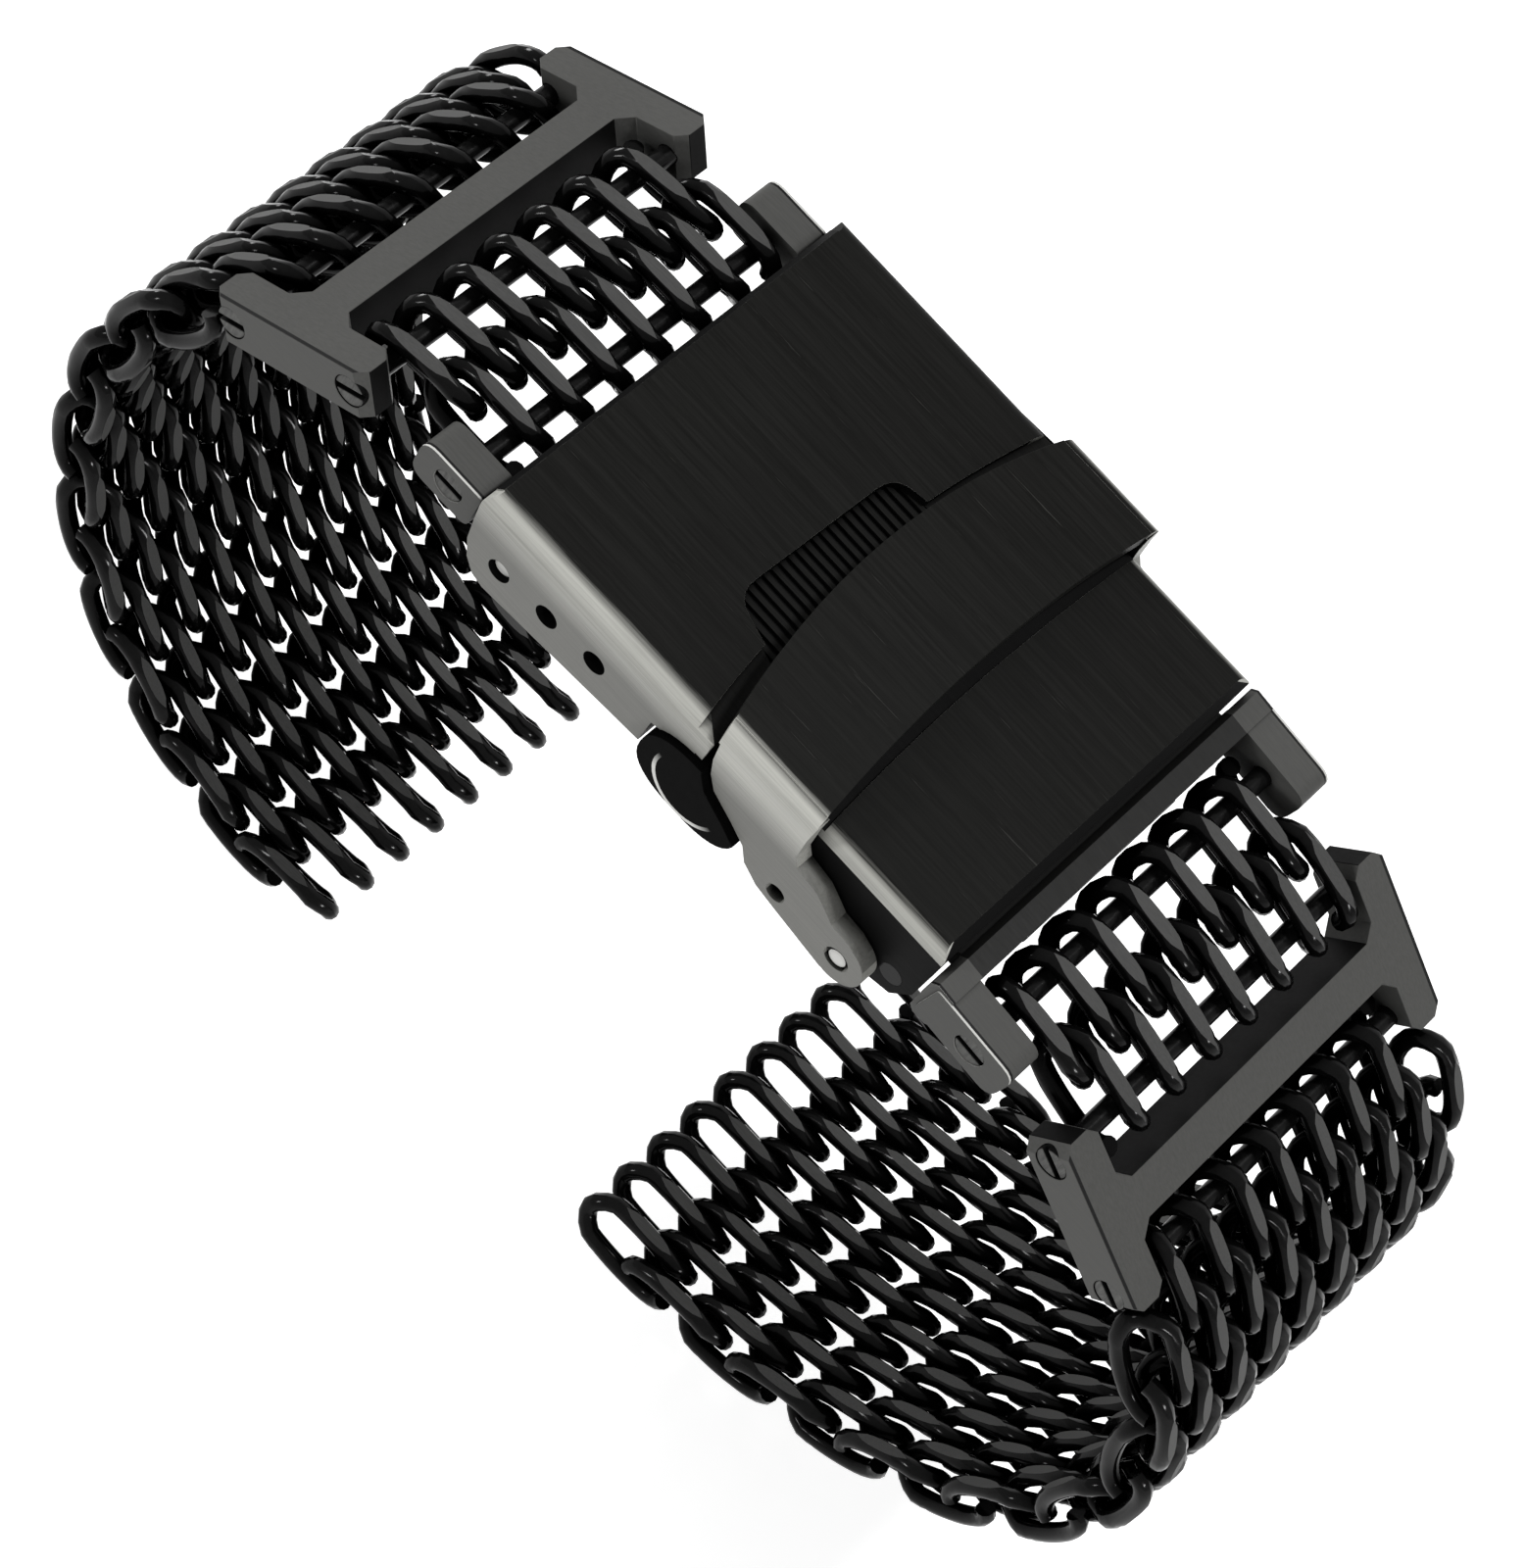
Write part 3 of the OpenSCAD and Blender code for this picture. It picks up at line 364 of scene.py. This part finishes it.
def row_mesh(name, kind, strands, even_top, hinge, ahead, across, on_pin, to_pin):
    """A row's wire from its hinge ahead. Its ends hang on a pin or in the next row."""
    turn = np.array([ahead, across, np.cross(ahead, across)])
    origin = hinge + (PIN_REACH if on_pin else ROW_PITCH[kind] / 2) * ahead
    hook, pin = ((ROW_PITCH[kind] + HOOK_DEPTH) / 2, HOOK_POWER), (PIN_END, PIN_POWER)
    path = coil(strands, even_top, pin if on_pin else hook, pin if to_pin else hook)
    rings, halves = tube_rings(path, DRAWN_R, FACE_Z[kind])
    n = len(rings)
    w = SIDES + 1
    verts, faces, ground_faces = list(rings.reshape(-1, 3)), [], set()
    # The wire's side swaps at the loops, so neighbouring rings are matched by their nearest start
    order = [list(range(w)) for _ in range(n)]
    for i in range(1, n):
        a = rings[i - 1][order[i - 1]]
        b = rings[i]
        swapped = order[0][::-1]
        if np.abs(a - b[swapped]).sum() < np.abs(a - b).sum():
            order[i] = swapped
    for i in range(n - 1):
        for k in range(SIDES):
            faces.append((i * w + order[i][k], i * w + order[i][k + 1],
                          (i + 1) * w + order[i + 1][k + 1], (i + 1) * w + order[i + 1][k]))
    for i in range(n - 1):
        if halves[i] > 0.02 or halves[i + 1] > 0.02:
            base = len(verts)
            verts.extend([rings[i][order[i][-1]], rings[i][order[i][0]],
                          rings[i + 1][order[i + 1][0]], rings[i + 1][order[i + 1][-1]]])
            ground_faces.add(len(faces))
            faces.append((base, base + 1, base + 2, base + 3))
    for i in (0, n - 1):
        base = len(verts)
        verts.extend(rings[i][order[i]])
        loop = tuple(range(base, base + w))
        faces.append(loop[::-1] if i == 0 else loop)
    obj = new_object(name, origin + np.array(verts) @ turn, faces)
    mesh = obj.data
    mesh.materials.append(gloss)
    mesh.materials.append(ground)
    for poly in mesh.polygons:
        poly.material_index = int(poly.index in ground_faces)
        poly.use_smooth = poly.material_index == 0 and len(poly.vertices) == 4
    bm = bmesh.new()
    bm.from_mesh(mesh)
    bmesh.ops.recalc_face_normals(bm, faces=bm.faces)
    bm.to_mesh(mesh)
    bm.free()
    return obj


def at(joint):
    p = joints[joint]["pos_m"]
    return np.array([p[0], 0.0, p[2]]) / MM


def heading(a, b):
    v = b - a
    return v / np.linalg.norm(v)


def bent(v, side, degrees):
    """The heading turned inwards, as the band curls."""
    r = math.radians(degrees) * (1 if side == "a" else -1)
    return np.array([v[0] * math.cos(r) - v[2] * math.sin(r), 0.0, v[0] * math.sin(r) + v[2] * math.cos(r)])


for side in ("a", "b"):
    across = np.array([0.0, -1.0 if side == "a" else 1.0, 0.0])
    short = [at(f"short_{side}1_hinge"), at(f"short_{side}2_hinge"), at(f"h_link_{side}_hinge")]
    for n in (1, 2):
        ahead = heading(short[n - 1], short[n])
        piece = row_mesh(f"wire_short_{side}{n}", "short", LINK_STRANDS, n == 1, short[n - 1], ahead, across,
                         n == 1, n == 2)
        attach(piece, f"short_{side}{n}")
        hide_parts(f"short_row_{side}{n}")
    rows = sorted(n for n in nodes if n.startswith(f"band_{side}_row_"))
    hinges = [at(f"band_{side}_{i + 1:02d}_hinge") for i in range(len(rows))]
    for i in range(len(rows)):
        if i < len(rows) - 1:
            ahead = heading(hinges[i], hinges[i + 1])
        else:
            ahead = bent(ahead, side, LAST_BEND[side])
        strands = LINK_STRANDS if i == 0 else BAND_STRANDS
        piece = row_mesh(f"wire_{side}_{i + 1:02d}", side, strands, (len(rows) - 1 - i) % 2 == 0, hinges[i], ahead,
                         across, i == 0, False)
        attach(piece, f"band_{side}_{i + 1:02d}")
        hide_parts(rows[i])

# ---------------------------------------------------------------- rigid parts with softened edges

SHARP = math.radians(28)


def softened(node, width, segments, paint):
    """A copy of a node with small rounds on its edges. paint(normal, centre, rim) picks each face's material."""
    mesh = nodes[node].data.copy()
    mesh.name = node + "_soft"
    bm = bmesh.new()
    bm.from_mesh(mesh)
    bmesh.ops.remove_doubles(bm, verts=bm.verts, dist=1e-6)
    bmesh.ops.dissolve_limit(bm, angle_limit=math.radians(0.5), verts=bm.verts, edges=bm.edges)
    bm.normal_update()
    for f in bm.faces:
        f.material_index = 0
    sharp = [e for e in bm.edges if len(e.link_faces) == 2 and e.calc_face_angle(0) > SHARP]
    rims = bmesh.ops.bevel(bm, geom=sharp, offset=width * MM, offset_type="OFFSET", segments=segments, profile=0.5,
                           affect="EDGES", clamp_overlap=True, harden_normals=False)["faces"]
    for f in rims:
        f.material_index = 1
    bmesh.ops.triangulate(bm, faces=[f for f in bm.faces if len(f.verts) > 4])
    bm.normal_update()
    # A rim is smooth in itself and ends sharply at the faces beside it, so that large faces stay plain
    for e in bm.edges:
        if len(e.link_faces) == 2:
            a, b = (f.material_index for f in e.link_faces)
            e.smooth = a == b and e.calc_face_angle(0) < math.radians(30 if a == 0 else 60)
    for f in bm.faces:
        f.smooth = True
    bm.to_mesh(mesh)
    bm.free()
    mesh.materials.clear()
    names = []
    for poly in mesh.polygons:
        m = paint(poly.normal, poly.center / MM, poly.material_index == 1)
        if m.name not in names:
            names.append(m.name)
            mesh.materials.append(m)
        poly.material_index = names.index(m.name)
    obj = bpy.data.objects.new(node + "_soft", mesh)
    bpy.context.scene.collection.objects.link(obj)
    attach(obj, nodes[node]["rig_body"])
    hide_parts(node)


# Height of the clasp's top, half the width outside and inside the flap's arms, and where the flap begins
TOP_Z, HALF_W, INNER_HALF_W, FLAP_X0 = 3.1, 11.5, 10.4, 8.9
# How far in from the outside the clasp's wall and the flap's arm count as its side
WALL = HALF_W - 0.95


# Low wall faces and recess floors get painted shade, the side rims a painted highlight, and the sides and upper
# inner walls the skin's painted reflection
def cover_paint(n, c, rim):
    if abs(c.y) > HALF_W - 1.3 and c.z < TOP_Z - 1.2 and abs(n.y) < 0.2 and not rim:
        return recess_painted_shade
    if abs(c.y) > WALL:
        if rim and n.z < (0.6 if c.y < 0 else 0.2):
            return edge_painted_highlight
        return skin if c.y < 0 or n.z < 0.2 else top_black
    if n.z > 0.9 and (c.z < TOP_Z - 0.5 or c.z < TOP_Z - 0.3 and c.x > FLAP_X0 - 0.4):
        return recess_painted_shade
    if n.z > 0.9 and not rim:
        return skin if c.z > TOP_Z - 0.15 else top_black
    if abs(c.y) > INNER_HALF_W - 0.85 and n.z > 0.03 and c.z > TOP_Z - 1.0:
        return skin
    deep = c.z < TOP_Z - 0.9 and (n.z < -0.5 or abs(c.y) < 9.5)
    return inside if deep else recess_painted_shade


# The flap's side rims get a painted highlight and its sides a painted reflection
def flap_paint(n, c, rim):
    if rim and abs(c.y) > HALF_W - 0.3 and n.z < (0.8 if c.y < 0 else 0.2) and abs(n.y) > 0.2:
        return edge_painted_highlight
    if abs(c.y) > WALL and abs(n.y) < 0.35 and n.z < 0.6:
        return side_painted_reflection
    if n.z < -0.2:
        return inside
    if abs(c.y) < WALL and (abs(n.x) > 0.3 or n.z < 0.9):
        return top_black
    return skin


def h_paint(n, c, rim):
    """The faces that look towards the clasp are black: painted shade."""
    toward_clasp = n.x if c.x < 8 else -n.x
    return recess_painted_shade if abs(n.y) < 0.5 and toward_clasp > 0.3 else h_grey


def pin_paint(n, c, rim):
    """The polished end of a pin, with painted shade round its edge and in its slot; the shaft is black."""
    if abs(c.y) < 10.15:
        return pin_black
    return pin_grey if abs(n.y) > 0.9 and abs(c.y) > 10.8 else recess_painted_shade


def dot_paint(n, c, rim):
    """Bright ends on a black pin: painted highlights."""
    return edge_painted_highlight if abs(n.y) > 0.95 and abs(c.y) > 10 and not rim else pin_black


def plain(m):
    return lambda n, c, rim: m


for node, width, segments, paint, slot in (
        ("clasp_cover", 0.08, 2, cover_paint, "clasp_black"),
        ("safety_flap", 0.10, 2, flap_paint, "clasp_black"),
        ("push_button_near", 0.22, 3, plain(button_black), "clasp_black"),
        ("push_button_far", 0.22, 3, plain(button_black), "clasp_black"),
        ("h_link_a", 0.07, 1, h_paint, "link_grey"),
        ("h_link_b", 0.07, 1, h_paint, "link_grey"),
        ("end_link_a", 0.12, 2, plain(end_grey), "link_grey"),
        ("end_link_b", 0.12, 2, plain(end_grey), "link_grey"),
        ("outer_blade", 0.10, 2, plain(inside), "link_grey"),
        ("inner_blade", 0.10, 2, plain(inside), "link_grey"),
        ("catch_guide", 0.10, 2, plain(inside), "link_grey"),
        ("end_pin_a", 0.14, 2, pin_paint, "pin_steel"),
        ("end_pin_b", 0.14, 2, pin_paint, "pin_steel"),
        ("h_link_pins_a", 0.14, 2, pin_paint, "pin_steel"),
        ("h_link_pins_b", 0.14, 2, pin_paint, "pin_steel"),
        ("flap_pivot_pins", 0.28, 3, dot_paint, "pin_steel"),
        ("spring_bar", 0.28, 3, dot_paint, "pin_steel")):
    softened(node, width, segments, paint)
for node in ("cover_hinge_pins", "fold_hinge_pin", "strap_pin_b"):
    nodes[node].data.materials.clear()
    nodes[node].data.materials.append(pin_black)

# Coil springs of the push buttons: radius of the wire in mm, turns, steps of a turn and sides of the wire
SPRING_R, SPRING_TURNS, STEPS, SPRING_SIDES = 0.07, 9, 12, 8
for which in ("near", "far"):
    low, high = (Vector(v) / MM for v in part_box(f"button_spring_{which}"))
    coil_r = (high.x - low.x) / 2 - SPRING_R
    middle = Vector(((low.x + high.x) / 2, 0, (low.z + high.z) / 2))
    n = SPRING_TURNS * STEPS
    path = np.array([[middle.x + coil_r * math.cos(2 * math.pi * i / STEPS),
                      low.y + SPRING_R + (high.y - low.y - 2 * SPRING_R) * i / n,
                      middle.z + coil_r * math.sin(2 * math.pi * i / STEPS)] for i in range(n + 1)])
    d = np.gradient(path, axis=0)
    d /= np.linalg.norm(d, axis=1)[:, None]
    verts, faces = [], []
    for p, t in zip(path, d):
        o = np.array([middle.x - p[0], 0, middle.z - p[2]])
        o = o - t * (o @ t)
        o /= np.linalg.norm(o)
        b = np.cross(t, o)
        turn = [2 * math.pi * k / SPRING_SIDES for k in range(SPRING_SIDES)]
        verts.extend([p + SPRING_R * (math.cos(a) * o + math.sin(a) * b) for a in turn])
    w = SPRING_SIDES
    for i in range(n):
        for k in range(w):
            faces.append((i * w + k, i * w + (k + 1) % w, (i + 1) * w + (k + 1) % w, (i + 1) * w + k))
    faces.append(tuple(range(w - 1, -1, -1)))
    faces.append(tuple(n * w + k for k in range(w)))
    obj = new_object(f"coil_spring_{which}", verts, faces)
    obj.data.materials.append(spring_wire)
    for poly in obj.data.polygons:
        poly.use_smooth = True
    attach(obj, "clasp")
    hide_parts(f"button_spring_{which}")

# ---------------------------------------------------------------- floor, light and camera


def seen(tree):
    """1 on rays from the camera, from a mirror or through glass, otherwise 0."""
    ray = add(tree, "LightPath").outputs
    direct = calc(tree, "MAXIMUM", ray["Is Camera Ray"], ray["Is Glossy Ray"])
    return calc(tree, "MAXIMUM", direct, ray["Is Transmission Ray"])


# The floor lies below the lowest pose: hanging open, a band reaches 12 mm lower than at rest.
FLOOR_SIZE, FLOOR_DROP, FLOOR_GLOW, SKY = 1500.0, 12.5, 0.45, 0.45
low, high = (Vector(v) for v in cad_box)
s, z = FLOOR_SIZE, low.z / MM - FLOOR_DROP
floor = new_object("studio_floor", [(-s, -s, z), (s, -s, z), (s, s, z), (-s, s, z)], [(0, 1, 2, 3)])
white = bpy.data.materials.new("studio_white")
white.use_nodes = True
t = white.node_tree
p = t.nodes["Principled BSDF"]
for socket, value in (("Base Color", (0.9, 0.9, 0.9, 1)), ("Roughness", 0.8), ("Specular IOR Level", 0.0),
                      ("Emission Color", (1, 1, 1, 1)),
                      ("Emission Strength", calc(t, "MULTIPLY", seen(t), FLOOR_GLOW))):
    put(t, p.inputs[socket], value)
floor.data.materials.append(white)

world = bpy.data.worlds.new("studio")
bpy.context.scene.world = world
world.use_nodes = True
t = world.node_tree
put(t, t.nodes["Background"].inputs["Color"], (1, 1, 1, 1))
put(t, t.nodes["Background"].inputs["Strength"], span(t, seen(t), 0.0, 1.0, SKY, 1.0))

middle = (low + high) / 2
for name, place, size, watts in (
        ("lamp_side", (-0.35, -0.45, 0.25), 0.1, 1.2),
        ("lamp_left", (-0.6, 0.04, 0.15), 0.11, 1.3),
        ("lamp_above", (0.1, 0.2, 0.6), 0.1, 2.0),
        ("lamp_right", (0.5, -0.2, 0.15), 0.07, 0.8)):
    data = bpy.data.lights.new(name, "AREA")
    data.shape = "DISK"
    data.size = size
    data.energy = watts
    lamp = bpy.data.objects.new(name, data)
    lamp.location = place
    lamp.rotation_euler = (middle - Vector(place)).to_track_quat("-Z", "Y").to_euler()
    bpy.context.scene.collection.objects.link(lamp)

# The camera's right and ahead in the part's axes, its place in mm, and its focal length in pixels of the photo
RIGHT, AHEAD = Vector((0.68, 0.6576, 0.3243)), Vector((-0.0684, 0.4973, -0.8649))
CAMERA_PLACE, FOCAL_PX, PHOTO_H_PX, SENSOR_H = Vector((23.98, -102.53, 162.01)), 4582.72, 1600, 24.0
data = bpy.data.cameras.new("photo_camera")
data.sensor_fit = "VERTICAL"
data.sensor_height = SENSOR_H
data.lens = FOCAL_PX * SENSOR_H / PHOTO_H_PX
data.clip_start = 0.01
data.clip_end = 10.0
camera = bpy.data.objects.new("photo_camera", data)
ahead = AHEAD.normalized()
right = (RIGHT - ahead * RIGHT.dot(ahead)).normalized()
up = right.cross(ahead).normalized()
camera.matrix_world = Matrix.Translation(CAMERA_PLACE * MM) @ Matrix((right, up, -ahead)).transposed().to_4x4()
bpy.context.scene.collection.objects.link(camera)
bpy.context.scene.camera = camera
bpy.context.scene.view_settings.view_transform = "Standard"
